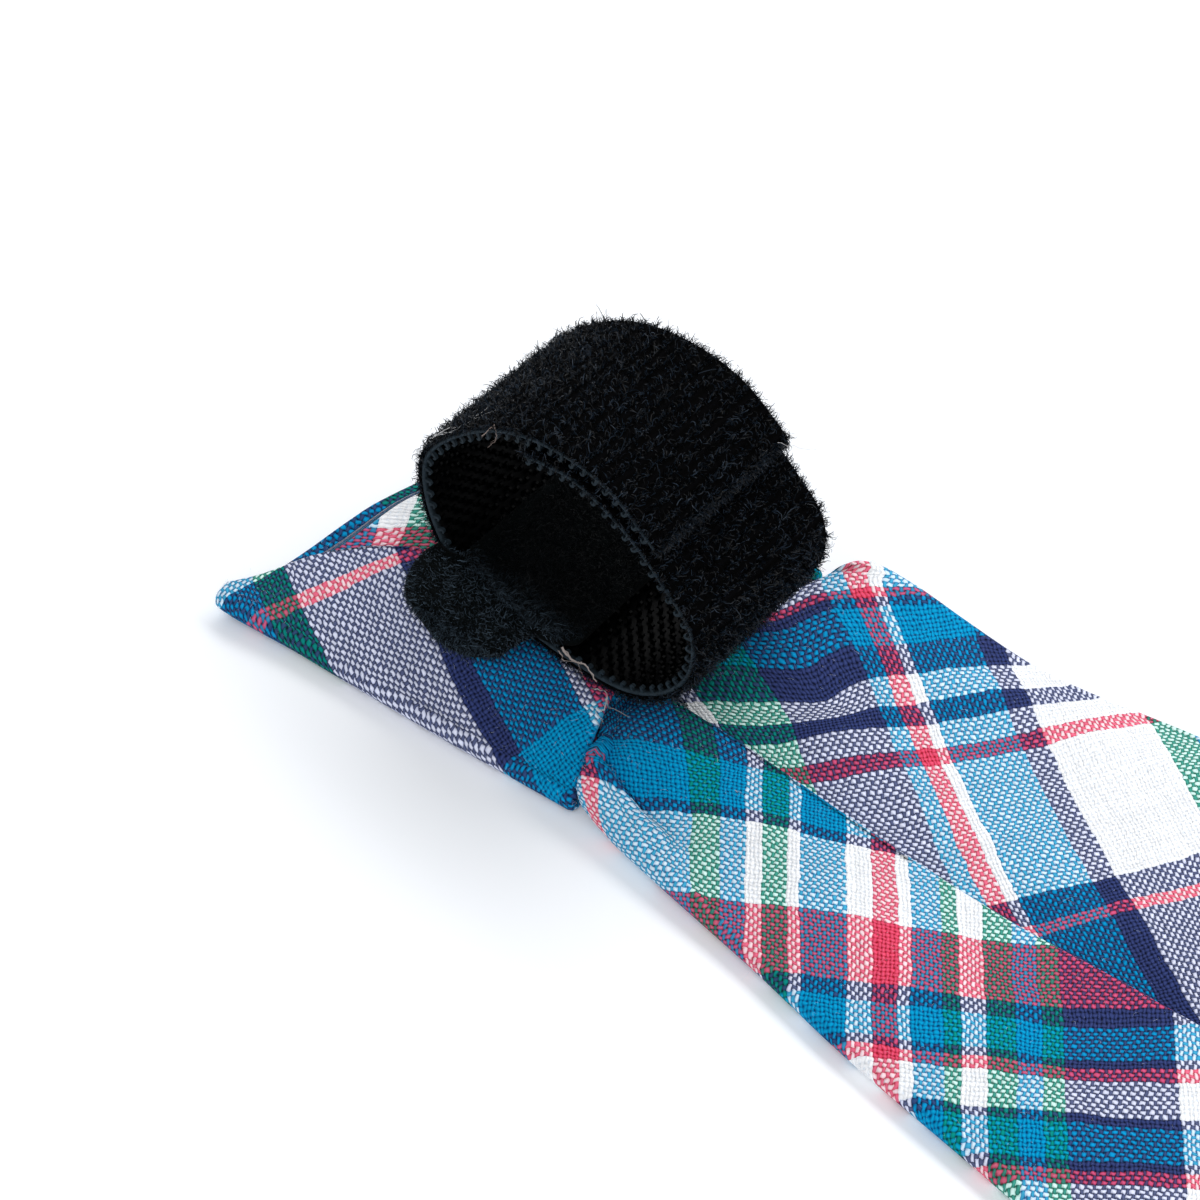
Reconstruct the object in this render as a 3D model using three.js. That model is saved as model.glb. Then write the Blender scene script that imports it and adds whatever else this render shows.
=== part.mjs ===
// A dog's slide-on necktie, lying on its front with its back up, in millimetres.
// X runs from the knot's top corners to the blade's tip, Y through the collar ring, Z up.
// Four pieces: the folded blade, the folded knot round its neck, the hook-and-loop strap
// closed in a ring on the knot's back, and the pile pad stitched on the ring's floor.
import * as THREE from 'three';

// Driving dimensions
const cloth = 1.0;            // a folded cloth wall, with its turned edge and interlining
const gap = 0.3;              // clearance between pieces, and between folded layers
const layer = cloth + gap;    // from one folded layer's middle to the next one's
const foldRadius = cloth + gap / 2;   // a pressed fold, from its centre to its outer face
const cornerX = -30.6;        // the knot's top corners, from the ring's centre
const tipX = 147.0;           // the blade's tip, from the ring's centre
const neckX = -14;            // the blade's upper end, inside the knot
const strapWidth = 18.6;      // along the collar's passage
const strapFrontY = -10.3;    // the ring's front edge
const strapSkew = -2.0;       // how far the ring's back edge leans towards the knot's top
const strapSink = -0.6;       // how far the ring's back edge sits lower
const strapTaper = 0.05;      // and how much less tall the ring is there
const strapLowZ = 8;          // the height that the ring's height is measured from
const hookBase = 0.2;         // strap's thickness inside its base line: half the moulded film
const pileOut = 0.9;          // strap's thickness outside it: the rest of the film and the loops
const padThickness = 1.3;

// The blade's sections, from its neck inside the knot to its tip.
// near, far: from the middle to each side's fold; nearFold, farFold: the folds' outer radii;
// height: from the front layer's middle to the near flap's middle; rise: how far in from
// a fold the back reaches that height; seam: the near flap's edge; lift: the front layer's
// underside above the table; step: how much lower the far flap lies at the seam;
// tuck: how far the far flap runs on under the near one, or stops short of it.
const bladeSections = table(
  ['x', 'near', 'far', 'nearFold', 'farFold', 'height', 'rise', 'seam', 'lift', 'step', 'tuck'],
  [
    [neckX, 9.5, 9.5, foldRadius, foldRadius, layer, 3, -2, layer, 0, -0.5],
    [4, 11.4, 11.4, foldRadius, foldRadius, layer, 3, -3.6, layer, 0, -0.5],
    [8.9, 13, 13.2, foldRadius, foldRadius, layer, 4, -5.2, layer, 0, -0.5],
    [11.8, 18.3, 18.9, 3.1, 3.3, 4.6, 6, -5.8, 0.6, layer, -0.5],
    [15, 18.7, 19.7, 2.6, 3.4, 5.2, 8, -6.1, 0, layer, 2],
    [20, 19.5, 19.8, 1.7, 2.9, 4.9, 9, -6.1, 0, layer, 5],
    [30, 20.9, 20.9, foldRadius, 1.4, 4.2, 9, -6, 0, layer, 5],
    [43, 23.3, 23.4, foldRadius, foldRadius, 3.5, 8, -5.7, 0, layer, 5],
    [57, 25.2, 25.4, foldRadius, foldRadius, 3, 7, -4.4, 0, layer, 5],
    [85, 29.2, 29.2, foldRadius, foldRadius, 2.7, 6, -2.5, 0, layer, 5],
    [108, 32.1, 32.1, foldRadius, foldRadius, 2.6, 5, -1.2, 0, layer, 5],
    [114, 32.5, 32.5, foldRadius, foldRadius, 2.6, 5, -0.8, 0, layer, 5],
    [119, 30.6, 30.6, foldRadius, foldRadius, 2.6, 5, -0.5, 0, layer, 5],
    [143, 5.6, 5.6, foldRadius, foldRadius, 2.6, 2, 0, 0, layer, 1.5],
    [146, 3, 3, foldRadius, foldRadius, 2.6, 1.3, 0, 0, layer, 0.8],
    [tipX, 2.4, 2.4, foldRadius, foldRadius, 2.6, 1.1, 0, 0, layer, 0.6],
  ],
);
const bladeStations = [
  ...range(neckX, 8.9, 3), 10.2, 11.8, 13.2, 14.5, 16, 18, 20, 23, 26.5, 30, 36, 43, 50, 57, 71,
  85, 97, 108, 111, 114, 116.5, 119, 127, 135, 143, 146, tipX,
];

// The knot's sections, from its top corners to its mouth. half: near and far alike.
const knotSections = table(
  ['x', 'half', 'height', 'rise', 'seam', 'lift', 'tuck'],
  [
    [cornerX, 20.1, 2.2, 16.5, -18.8, 1.2, 0.2],
    [-28.5, 20.0, 3.4, 16.5, -15.8, 0.9, 0.8],
    [-26, 19.8, 4.8, 16.5, -12.2, 0.5, 2.4],
    [-22, 19.5, 6.0, 16, -9.2, 0.1, 4],
    [-17, 19.3, 6.8, 15.5, -7.2, 0, 5],
    [-11, 19.1, 6.8, 14.5, -6.2, 0, 5],
    [-5, 18.8, 6.0, 12.5, -6.0, 0, 4],
    [2, 18.2, 5.3, 10, -5.8, 0, 3],
    [9, 17.4, 5.3, 8, -5.6, 0, 2.5],
  ],
);
const knotSteps = 20;
const lapWidth = 6;           // how wide the far flap dips to pass under the near one
const knotMouthX = 8.7;       // the knot's lower edge at its folds
const knotMouthSlant = 2.4;   // how much higher it sits at the far fold
const knotMouthDip = 4.0;     // how much higher that edge sits in the middle of the back
const frontTopDip = 2.8;      // how far the front layer's top edge falls between the corners
const backTopDip = 9.0;       // how far the far flap's top edge falls between the corners
const puffEndX = 20;          // where the blade's back stops following the mouth's curve

// How finely a folded section is drawn across each of its layers and round each fold
const farSteps = 12;
const frontSteps = 8;
const nearSteps = 10;
const foldSteps = 3;
const foldSweep = 70;         // degrees of a fold on each side of its outermost line

// The pinched dent beside the knot's mouth, in the blade's near flap.
// fadeIn, fadeOut: the shares of its length over which it deepens and dies away
const dent = {
  fromX: 9, fromY: -13.0, toX: 17, toY: -15.4, width: 1.7, depth: 1.1, fadeIn: 0.3, fadeOut: 0.5,
};

// The strap's base line, seen from the front, from its inner end round to its outer end
const strapLine = table(
  ['x', 'z'],
  [
    [-3.2, 28.2], [2.2, 28.7], [7.6, 26.6], [11.9, 23.2], [14.9, 19.8], [14.8, 15.2],
    [12.1, 11.2], [8.0, 8.8], [2.1, 8.3], [-4.0, 8.9], [-9.6, 10.0], [-12.4, 12.2],
    [-14.4, 16.5], [-14.4, 21.0], [-10.9, 25.6], [-5.0, 29.6], [1.3, 30.8], [6.4, 29.8],
    [10.0, 27.3],
  ],
);
const strapSteps = 84;

// The pad's outline on the knot's back: its left side steps in where it enters the ring, its
// front edge slants towards the right, and its front right corner is cut off
const pad = {
  left: -13.9, floorLeft: -10.8, right: 2.1, frontY: -12.7, slant: 1.3, backY: 7.0, cutX: 6.6, cutY: 3.2,
};
const padSeat = 0.5;          // its height over what it lies on, clear of the slopes
const padDrop = 3.2;          // how far in front of the ring the pad comes down on the knot
const padLead = 0.9;          // how far in front of the ring it has climbed to the ring's floor
const padStepIn = 1.8;        // how far in front of the ring its left side steps in
const floorReachZ = 12.2;     // where the ring's floor turns up into its walls
const floorSamples = 336;     // places where the ring's floor is measured for the pad
const padColumns = 14;
const padRows = 24;

// Rows of numbers as objects with the columns' names.
function table(columns, rows) {
  return rows.map((row) => Object.fromEntries(columns.map((name, i) => [name, row[i]])));
}

function range(from, to, count) {
  return Array.from({ length: count + 1 }, (_, i) => from + (to - from) * i / count);
}

// Reads a column of a table at x, on a smooth curve through its rows.
function at(rows, x, column) {
  const last = rows.length - 1;
  const next = rows.findIndex((row, j) => j === last || (j > 0 && row.x >= x));
  const i = next - 1;
  const a = rows[i];
  const b = rows[next];
  const slope = (p, q) => (q[column] - p[column]) / (q.x - p.x);
  const middle = slope(a, b);
  const soften = (s, t) => (s * t <= 0 ? 0 : 2 * s * t / (s + t));
  const startSlope = i === 0 ? middle : soften(slope(rows[i - 1], a), middle);
  const endSlope = next === last ? middle : soften(middle, slope(b, rows[next + 1]));
  const span = b.x - a.x;
  const t = THREE.MathUtils.clamp((x - a.x) / span, 0, 1);
  const fromA = (1 + 2 * t) * (1 - t) ** 2 * a[column] + t * (1 - t) ** 2 * span * startSlope;
  const fromB = t ** 2 * (3 - 2 * t) * b[column] + t ** 2 * (t - 1) * span * endSlope;
  return fromA + fromB;
}

// A section's sizes at x.
function sectionAt(rows, x) {
  const section = { step: layer, nearFold: foldRadius, farFold: foldRadius };
  for (const column of Object.keys(rows[0])) section[column] = at(rows, x, column);
  section.near ??= section.half;
  section.far ??= section.half;
  return section;
}

// Rises from 0 to 1, steeply at first, as a puffed cloth does from its fold.
const swell = (d) => Math.sin(Math.PI / 2 * THREE.MathUtils.clamp(d, 0, 1));

// 1 in the middle of a section and 0 at its folds.
const bow = (y, half) => 1 - Math.min(Math.abs(y) / half, 1) ** 1.5;

// How high a folded tube's back stands, from its front layer's middle to its own, at a
// distance in from where a fold of the given middle radius ends.
function backHeight(section, radius, inFromFold) {
  return 2 * radius + (section.height - 2 * radius) * swell(inFromFold / section.rise);
}

// A fold's middle line as [y, z, zone] points, downwards round its outermost line at the
// middle angle.
function foldArc(centreY, bottom, radius, middle) {
  return range(middle + foldSweep, middle - foldSweep, foldSteps).map((degrees) => {
    const angle = THREE.MathUtils.degToRad(degrees);
    return [centreY + radius * Math.cos(angle), bottom + radius + radius * Math.sin(angle), 'fold'];
  });
}

// A folded tube's middle line as [y, z, zone] points: from the far flap's hidden end,
// over the far fold, along the front layer, round the near fold to the near flap's edge.
function foldedSection(s) {
  const bottom = s.lift + cloth / 2;
  const nearRadius = s.nearFold - cloth / 2;
  const farRadius = s.farFold - cloth / 2;
  const nearY = s.nearFold - s.near;
  const farY = s.far - s.farFold;
  const under = (y) => s.step * (1 - THREE.MathUtils.smoothstep(y, s.seam, s.seam + lapWidth));
  const nearHeight = (y) => backHeight(s, nearRadius, y - nearY);
  const farHeight = (y) => {
    const open = Math.min(backHeight(s, farRadius, farY - y), nearHeight(y));
    return Math.max(open - under(y), layer);
  };
  return [
    ...range(s.seam - s.tuck, farY, farSteps).map((y) => [y, bottom + farHeight(y), 'far']),
    ...foldArc(farY, bottom, farRadius, 0),
    ...range(farY, nearY, frontSteps).map((y) => [y, bottom, 'front']),
    ...foldArc(nearY, bottom, nearRadius, -180),
    ...range(nearY, s.seam, nearSteps).map((y) => [y, bottom + nearHeight(y), 'near']),
  ];
}

// Thickens a grid of points, rows of Vector3, to a closed wall.
function wall(rows, inside, outside) {
  const m = rows.length;
  const n = rows[0].length;
  const clampRow = (i) => THREE.MathUtils.clamp(i, 0, m - 1);
  const clampColumn = (j) => THREE.MathUtils.clamp(j, 0, n - 1);
  const outerFace = [];
  const innerFace = [];
  for (let i = 0; i < m; i += 1) {
    for (let j = 0; j < n; j += 1) {
      const along = rows[clampRow(i + 1)][j].clone().sub(rows[clampRow(i - 1)][j]);
      const across = rows[i][clampColumn(j + 1)].clone().sub(rows[i][clampColumn(j - 1)]);
      const normal = along.cross(across).normalize();
      outerFace.push(rows[i][j].clone().addScaledVector(normal, outside));
      innerFace.push(rows[i][j].clone().addScaledVector(normal, -inside));
    }
  }
  const index = [];
  const outer = (i, j) => i * n + j;
  const inner = (i, j) => m * n + i * n + j;
  const quad = (a, b, c, d) => index.push(a, b, c, a, c, d);
  for (let i = 0; i < m - 1; i += 1) {
    for (let j = 0; j < n - 1; j += 1) {
      quad(outer(i, j), outer(i + 1, j), outer(i + 1, j + 1), outer(i, j + 1));
      quad(inner(i, j), inner(i, j + 1), inner(i + 1, j + 1), inner(i + 1, j));
    }
    quad(outer(i, 0), inner(i, 0), inner(i + 1, 0), outer(i + 1, 0));
    quad(outer(i + 1, n - 1), inner(i + 1, n - 1), inner(i, n - 1), outer(i, n - 1));
  }
  for (let j = 0; j < n - 1; j += 1) {
    quad(outer(0, j + 1), inner(0, j + 1), inner(0, j), outer(0, j));
    quad(outer(m - 1, j), inner(m - 1, j), inner(m - 1, j + 1), outer(m - 1, j + 1));
  }
  const geometry = new THREE.BufferGeometry().setFromPoints([...outerFace, ...innerFace]);
  geometry.setIndex(index);
  return geometry;
}

function dentDepth(x, y) {
  const t = (x - dent.fromX) / (dent.toX - dent.fromX);
  const centre = dent.fromY + (dent.toY - dent.fromY) * t;
  const ends = swell(t / dent.fadeIn) * swell((1 - t) / dent.fadeOut);
  return dent.depth * ends * Math.exp(-(((y - centre) / dent.width) ** 2));
}

function bladeGeometry() {
  const rows = bladeStations.map((x) => {
    const section = sectionAt(bladeSections, x);
    const puff = THREE.MathUtils.smoothstep(puffEndX - x, 0, puffEndX - knotMouthX);
    return foldedSection(section).map(([y, z, zone]) => {
      const back = zone === 'near' || zone === 'far';
      const lowered = zone === 'near' ? dentDepth(x, y) : 0;
      const follow = back ? knotMouthDip * puff * bow(y, y < 0 ? section.near : section.far) : 0;
      return new THREE.Vector3(x - follow, y, z - lowered);
    });
  });
  return wall(rows, cloth / 2, cloth / 2);
}

// The knot's back surface, at the near flap's top.
function knotTop(x, y) {
  const s = sectionAt(knotSections, THREE.MathUtils.clamp(x, cornerX, knotMouthX));
  const radius = foldRadius - cloth / 2;
  return s.lift + cloth + backHeight(s, radius, s.half - foldRadius - Math.abs(y));
}

function knotGeometry() {
  const topDip = { far: backTopDip, front: frontTopDip, fold: 0, near: 0 };
  const mouthDip = { far: knotMouthDip, front: 0, fold: 0, near: knotMouthDip };
  const topSection = sectionAt(knotSections, cornerX);
  const mouthSection = sectionAt(knotSections, knotMouthX);
  const mouthColumns = foldedSection(mouthSection);
  const edges = foldedSection(topSection).map(([topY, , zone], j) => {
    const mouthY = mouthColumns[j][0];
    const slant = knotMouthSlant * (mouthY / mouthSection.half + 1) / 2;
    return {
      top: cornerX + topDip[zone] * bow(topY, topSection.half),
      mouth: knotMouthX - slant - mouthDip[zone] * bow(mouthY, mouthSection.half),
    };
  });
  const rows = range(0, 1, knotSteps).map((t) => edges.map(({ top, mouth }, j) => {
    const x = top + (mouth - top) * t;
    const [y, z] = foldedSection(sectionAt(knotSections, x))[j];
    return new THREE.Vector3(x, y, z);
  }));
  return wall(rows, cloth / 2, cloth / 2);
}

const strapPath = new THREE.CatmullRomCurve3(
  strapLine.map(({ x, z }) => new THREE.Vector3(x, 0, z)),
  false,
  'centripetal',
);

// How far back through the ring y is: 0 at its front edge, 1 at its back edge.
const throughRing = (y) => THREE.MathUtils.clamp((y - strapFrontY) / strapWidth, 0, 1);

// A point of the strap's line, carried back through the ring.
function alongRing({ x, z }, through) {
  const lowered = (strapSink - (z - strapLowZ) * strapTaper) * through;
  return new THREE.Vector3(x + strapSkew * through, strapFrontY + strapWidth * through, z + lowered);
}

function strapGeometry() {
  const line = strapPath.getSpacedPoints(strapSteps);
  return wall(line.map((p) => [alongRing(p, 0), alongRing(p, 1)]), hookBase, pileOut);
}

// The strap's inner face on the ring's floor, at x and y.
const floorLine = strapPath.getSpacedPoints(floorSamples).filter((p) => p.z < floorReachZ);
function floorTop(x, y) {
  const through = throughRing(y);
  const frontX = x - strapSkew * through;
  const away = (p) => Math.abs(p.x - frontX);
  const nearest = floorLine.reduce((a, b) => (away(b) < away(a) ? b : a));
  return alongRing(nearest, through).z + hookBase;
}

function padGeometry() {
  const rows = range(0, 1, padRows).map((t) => {
    const rowY = pad.frontY + (pad.backY - pad.frontY) * t;
    const inRing = THREE.MathUtils.smoothstep(rowY, strapFrontY - padStepIn, strapFrontY);
    const left = pad.left + (pad.floorLeft - pad.left) * inRing;
    const right = pad.right - pad.cutX * Math.max(0, 1 - (rowY - pad.frontY) / pad.cutY);
    return range(0, 1, padColumns).map((u) => {
      const y = rowY - pad.slant * u * (1 - t);
      const x = left + (right - left) * u + strapSkew * throughRing(y);
      const over = THREE.MathUtils.smoothstep(y, strapFrontY - padDrop, strapFrontY - padLead);
      const onStrap = floorTop(x, y) + padSeat;
      const onKnot = knotTop(x, y) + padSeat;
      return new THREE.Vector3(x, y, onKnot + (onStrap - onKnot) * over);
    });
  });
  return wall(rows, padThickness, 0);
}

const pieces = {
  blade: { geometry: bladeGeometry(), finish: { color: 0x2f6ea3, roughness: 0.9, metalness: 0 } },
  knot: { geometry: knotGeometry(), finish: { color: 0x7f86b4, roughness: 0.9, metalness: 0 } },
  strap: { geometry: strapGeometry(), finish: { color: 0x0c0e12, roughness: 0.85, metalness: 0 } },
  pad: { geometry: padGeometry(), finish: { color: 0x101418, roughness: 0.95, metalness: 0 } },
};

const necktie = new THREE.Group();
for (const [name, { geometry, finish }] of Object.entries(pieces)) {
  const piece = new THREE.Mesh(geometry, new THREE.MeshStandardMaterial(finish));
  piece.name = name;
  necktie.add(piece);
}
necktie.position.x = -(cornerX + tipX) / 2;

export default necktie;
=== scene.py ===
"""A dog's slide-on necktie lying on its front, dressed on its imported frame, in metres.

X runs from the knot's top corners to the blade's tip, Y through the collar ring, Z up.
Sizes are in millimetres from the collar ring's centre line until a piece's mesh is made.
"""
import math
import random

import bpy
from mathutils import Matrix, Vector
from mathutils import noise


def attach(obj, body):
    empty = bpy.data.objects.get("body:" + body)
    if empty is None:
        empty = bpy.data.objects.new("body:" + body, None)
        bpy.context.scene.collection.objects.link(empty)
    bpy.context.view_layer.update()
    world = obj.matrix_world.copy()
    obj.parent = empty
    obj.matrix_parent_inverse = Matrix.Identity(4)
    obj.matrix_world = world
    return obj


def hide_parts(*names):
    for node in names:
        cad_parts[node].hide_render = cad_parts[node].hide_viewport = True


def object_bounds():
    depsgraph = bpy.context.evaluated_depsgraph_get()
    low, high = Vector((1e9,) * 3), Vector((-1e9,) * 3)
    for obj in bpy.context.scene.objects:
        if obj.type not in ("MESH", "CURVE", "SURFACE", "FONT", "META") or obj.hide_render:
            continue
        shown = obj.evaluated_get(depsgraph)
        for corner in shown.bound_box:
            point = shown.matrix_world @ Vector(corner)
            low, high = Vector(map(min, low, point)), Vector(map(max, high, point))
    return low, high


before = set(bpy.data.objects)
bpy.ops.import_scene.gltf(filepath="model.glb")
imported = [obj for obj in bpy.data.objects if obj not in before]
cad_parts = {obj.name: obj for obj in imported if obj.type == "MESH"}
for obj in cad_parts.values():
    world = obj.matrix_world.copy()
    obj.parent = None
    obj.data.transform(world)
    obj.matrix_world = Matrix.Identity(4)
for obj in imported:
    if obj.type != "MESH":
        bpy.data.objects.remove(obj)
cad_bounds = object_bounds()


# ---------------------------------------------------------------------------------------
# The studio. White seamless paper in pale even air, under a long strip softbox behind and
# a square soft fill in front, and a long lens looking down along the knot's near corner.
# ---------------------------------------------------------------------------------------
TIP_REACH = 0.14724           # from the collar ring's centre to the tip's edge
ring_x = cad_bounds[1][0] - TIP_REACH
aim = Vector((ring_x, -0.0045, 0.010))
CAMERA_AZIMUTH = math.radians(42)
CAMERA_ELEVATION = math.radians(43.6)
CAMERA_DISTANCE = 0.400
CAMERA_LENS = 142.8
FLOOR_GAP = 0.00005           # how far the paper lies under the tie's lowest face


def direction_from(azimuth, elevation):
    """The way a camera looks, from its angle round the tie and its height over the horizon."""
    level = math.cos(elevation)
    return Vector((-math.sin(azimuth) * level, math.cos(azimuth) * level, -math.sin(elevation)))


def colour(code):
    """A hex colour as Blender's linear red, green, blue and alpha."""
    channels = [int(code[i:i + 2], 16) / 255 for i in (1, 3, 5)]
    linear = [c / 12.92 if c <= 0.04045 else ((c + 0.055) / 1.055) ** 2.4 for c in channels]
    return (*linear, 1.0)


def add_node(tree, kind, links=None, **settings):
    """Adds a node. links are {input: socket or value}; settings are the node's own fields."""
    made = tree.nodes.new("ShaderNode" + kind)
    for name, value in settings.items():
        setattr(made, name, value)
    for socket, value in (links or {}).items():
        if isinstance(value, bpy.types.NodeSocket):
            tree.links.new(value, made.inputs[socket])
        else:
            made.inputs[socket].default_value = value
    return made


def new_material(name):
    """An empty node material with its output, and the tree to build in."""
    material = bpy.data.materials.new(name)
    material.use_nodes = True
    material.node_tree.nodes.clear()
    return material, material.node_tree


def skin(tree, sockets):
    """Ends a material's tree in one surface, with a socket or a value for each input."""
    surface = add_node(tree, "BsdfPrincipled", sockets)
    add_node(tree, "OutputMaterial", {"Surface": surface.outputs["BSDF"]})


def soft_light(name, place, width, height, power, tint):
    """A studio light of a width and a height at a place round the aim, pointing at it."""
    lamp = bpy.data.lights.new(name, "AREA")
    lamp.shape = "RECTANGLE"
    lamp.size = width
    lamp.size_y = height
    lamp.energy = power
    lamp.color = colour(tint)[:3]
    holder = bpy.data.objects.new(name, lamp)
    bpy.context.scene.collection.objects.link(holder)
    holder.location = aim + Vector(place)
    holder.rotation_euler = Vector(place).to_track_quat("Z", "Y").to_euler()


camera_data = bpy.data.cameras.new("camera")
camera_data.lens = CAMERA_LENS
camera_data.sensor_width = 36
camera_data.clip_start = 0.01
camera = bpy.data.objects.new("camera", camera_data)
bpy.context.scene.collection.objects.link(camera)
sight = direction_from(CAMERA_AZIMUTH, CAMERA_ELEVATION)
camera.location = aim - sight * CAMERA_DISTANCE
camera.rotation_euler = sight.to_track_quat("-Z", "Y").to_euler()
bpy.context.scene.camera = camera

bpy.context.scene.view_settings.view_transform = "Standard"
bpy.context.scene.view_settings.look = "None"
studio_air = bpy.data.worlds.new("studio_air")
bpy.context.scene.world = studio_air
studio_air.use_nodes = True
air = studio_air.node_tree.nodes["Background"]
air.inputs["Color"].default_value = colour("#F8FAFF")
air.inputs["Strength"].default_value = 0.52
soft_light("back_strip_softbox", (0.10, 0.54, 0.68), 2.6, 0.3, 9.0, "#FFFFFF")
soft_light("front_fill", (0.35, -0.60, 0.80), 0.8, 0.8, 3.9, "#FFFFFF")

bpy.ops.object.select_all(action="DESELECT")
bpy.ops.mesh.primitive_plane_add(size=6, location=(0, 0, cad_bounds[0][2] - FLOOR_GAP))
bpy.ops.object.transform_apply(location=True, rotation=True, scale=True)
sweep = bpy.context.object
sweep.name = "paper_sweep"
# Matt white seamless paper over a light table: plain white, with a soft cool shadow
paper, tree = new_material("matt_white_seamless_paper")
skin(tree, {
    "Base Color": colour("#F8FAFC"), "Roughness": 0.95, "Specular IOR Level": 0.1,
    "Emission Color": colour("#F4F8FF"), "Emission Strength": 0.08,
})
sweep.data.materials.append(paper)


# ---------------------------------------------------------------------------------------
# The blade: one panel of yarn-dyed plaid cotton over an interlining, cut on the bias.
# Both sides are folded to the back, the near flap lapped over the far one and caught down
# along the middle; its neck is gathered into the knot, which leaves it puffed below.
# ---------------------------------------------------------------------------------------
CLOTH = 1.0                   # a folded wall with its turned edge and interlining
LAYER = 1.3                   # from one folded layer's middle to the next one's
PRESSED = 1.15                # a pressed fold, from its centre to its outer face
LAP = 6                       # how wide the far flap dips to pass under the near one
TIP_X = 147.0
NECK_X = -14.0
MOUTH_X = 8.7                 # the knot's lower edge
MOUTH_DIP = 4.0               # how much higher that edge sits in the middle of the back
PUFF_END = 20
SHOULDER_X = 114              # where the sides turn in to the tip

BLADE_COLUMNS = "x near far fold roll height rise seam lift step tuck"
BLADE_ROWS = (
    (NECK_X, 9.5, 9.5, PRESSED, PRESSED, LAYER, 3, -2, LAYER, 0, -0.5),
    (4, 11.4, 11.4, PRESSED, PRESSED, LAYER, 3, -3.6, LAYER, 0, -0.5),
    (8.0, 13.2, 13.2, PRESSED, 1.5, LAYER, 4, -5.2, LAYER, 0, -0.5),
    (9.1, 17.3, 16.6, 2.0, 2.2, 2.0, 4.4, -5.3, 1.0, 0.65, -0.5),
    (10.4, 18.1, 18.5, 2.8, 2.3, 3.5, 5, -5.5, 0.7, LAYER, -0.5),
    (12.2, 18.4, 19.3, 3.1, 2.1, 4.6, 6, -5.8, 0.3, LAYER, -0.5),
    (15, 18.8, 19.7, 3.0, 1.8, 5.2, 8, -6.1, 0, LAYER, 2),
    (20, 19.5, 19.8, 2.5, 1.5, 4.9, 9, -6.1, 0, LAYER, 5),
    (30, 20.9, 20.9, 1.25, PRESSED, 4.2, 9, -6, 0, LAYER, 5),
    (43, 23.3, 23.4, PRESSED, PRESSED, 3.5, 8, -5.7, 0, LAYER, 5),
    (57, 25.2, 25.4, PRESSED, PRESSED, 3, 7, -4.4, 0, LAYER, 5),
    (85, 29.2, 29.2, PRESSED, PRESSED, 2.7, 6, -2.5, 0, LAYER, 5),
    (108, 32.1, 32.1, PRESSED, PRESSED, 2.6, 5, -1.2, 0, LAYER, 5),
    (114, 32.5, 32.5, PRESSED, PRESSED, 2.6, 5, -0.8, 0, LAYER, 5),
    (119, 30.6, 30.6, PRESSED, PRESSED, 2.6, 5, -0.5, 0, LAYER, 5),
    (143, 5.6, 5.6, PRESSED, PRESSED, 2.6, 2, 0, 0, LAYER, 1.5),
    (146, 3, 3, PRESSED, PRESSED, 2.6, 1.3, 0, 0, LAYER, 0.8),
    (TIP_X, 2.4, 2.4, PRESSED, PRESSED, 2.6, 1.1, 0, 0, LAYER, 0.6),
)


def as_table(columns, rows):
    """Rows of numbers as dictionaries with the columns' names."""
    return [dict(zip(columns.split(), row)) for row in rows]


def clamp(value, low, high):
    return max(low, min(high, value))


def ease(value, low, high):
    """0 below low, 1 above high, and smooth between them."""
    t = clamp((value - low) / (high - low), 0, 1)
    return t * t * (3 - 2 * t)


def swell(d):
    """Rises from 0 to 1, steeply at first, as a puffed cloth does from its fold."""
    return math.sin(math.pi / 2 * clamp(d, 0, 1))


def bow(y, half):
    """1 in the middle of a section and 0 at its folds."""
    return 1 - min(abs(y) / half, 1) ** 1.5


def spread(start, end, count):
    """count + 1 values from start to end."""
    return [start + (end - start) * i / count for i in range(count + 1)]


def soft_slope(s, t):
    return 0 if s * t <= 0 else 2 * s * t / (s + t)


def read_table(table, x, column):
    """A column of a table at x, on a smooth curve through its rows."""
    last = len(table) - 1
    after = next(j for j in range(1, last + 1) if j == last or table[j]["x"] >= x)
    a = table[after - 1]
    b = table[after]
    span = b["x"] - a["x"]
    middle = (b[column] - a[column]) / span
    before_slope = middle
    after_slope = middle
    if after > 1:
        p = table[after - 2]
        before_slope = soft_slope((a[column] - p[column]) / (a["x"] - p["x"]), middle)
    if after < last:
        q = table[after + 1]
        after_slope = soft_slope(middle, (q[column] - b[column]) / (q["x"] - b["x"]))
    t = clamp((x - a["x"]) / span, 0, 1)
    from_a = (1 + 2 * t) * (1 - t) ** 2 * a[column] + t * (1 - t) ** 2 * span * before_slope
    from_b = t ** 2 * (3 - 2 * t) * b[column] + t ** 2 * (t - 1) * span * after_slope
    return from_a + from_b


def section_at(table, x):
    """A folded tube's sizes at x."""
    sizes = {"step": LAYER, "fold": PRESSED, "roll": PRESSED}
    for column in table[0]:
        sizes[column] = read_table(table, x, column)
    return sizes


def back_height(sizes, radius, inward):
    """How high the back stands over the front layer, at a distance in from a fold."""
    return 2 * radius + (sizes["height"] - 2 * radius) * swell(inward / sizes["rise"])


# How finely a section is drawn: the far flap, each half of a fold, the front, the near flap
FAR_STEPS = 42
ARC_STEPS = 5
FRONT_STEPS = 44
NEAR_STEPS = 30
EDGE_SHARES = (0.0, 0.13, 0.5)   # extra lines beside a free edge, in half thicknesses


def with_edge(values, at_start):
    """Adds the fine lines beside a free edge to a run of evenly spaced values."""
    first = values[0] if at_start else values[-1]
    way = 1 if at_start else -1
    extra = [first + way * share * CLOTH / 2 for share in EDGE_SHARES]
    if at_start:
        return extra + [first + CLOTH / 2] + values[1:]
    return values[:-1] + [first - CLOTH / 2] + extra[::-1]


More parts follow.
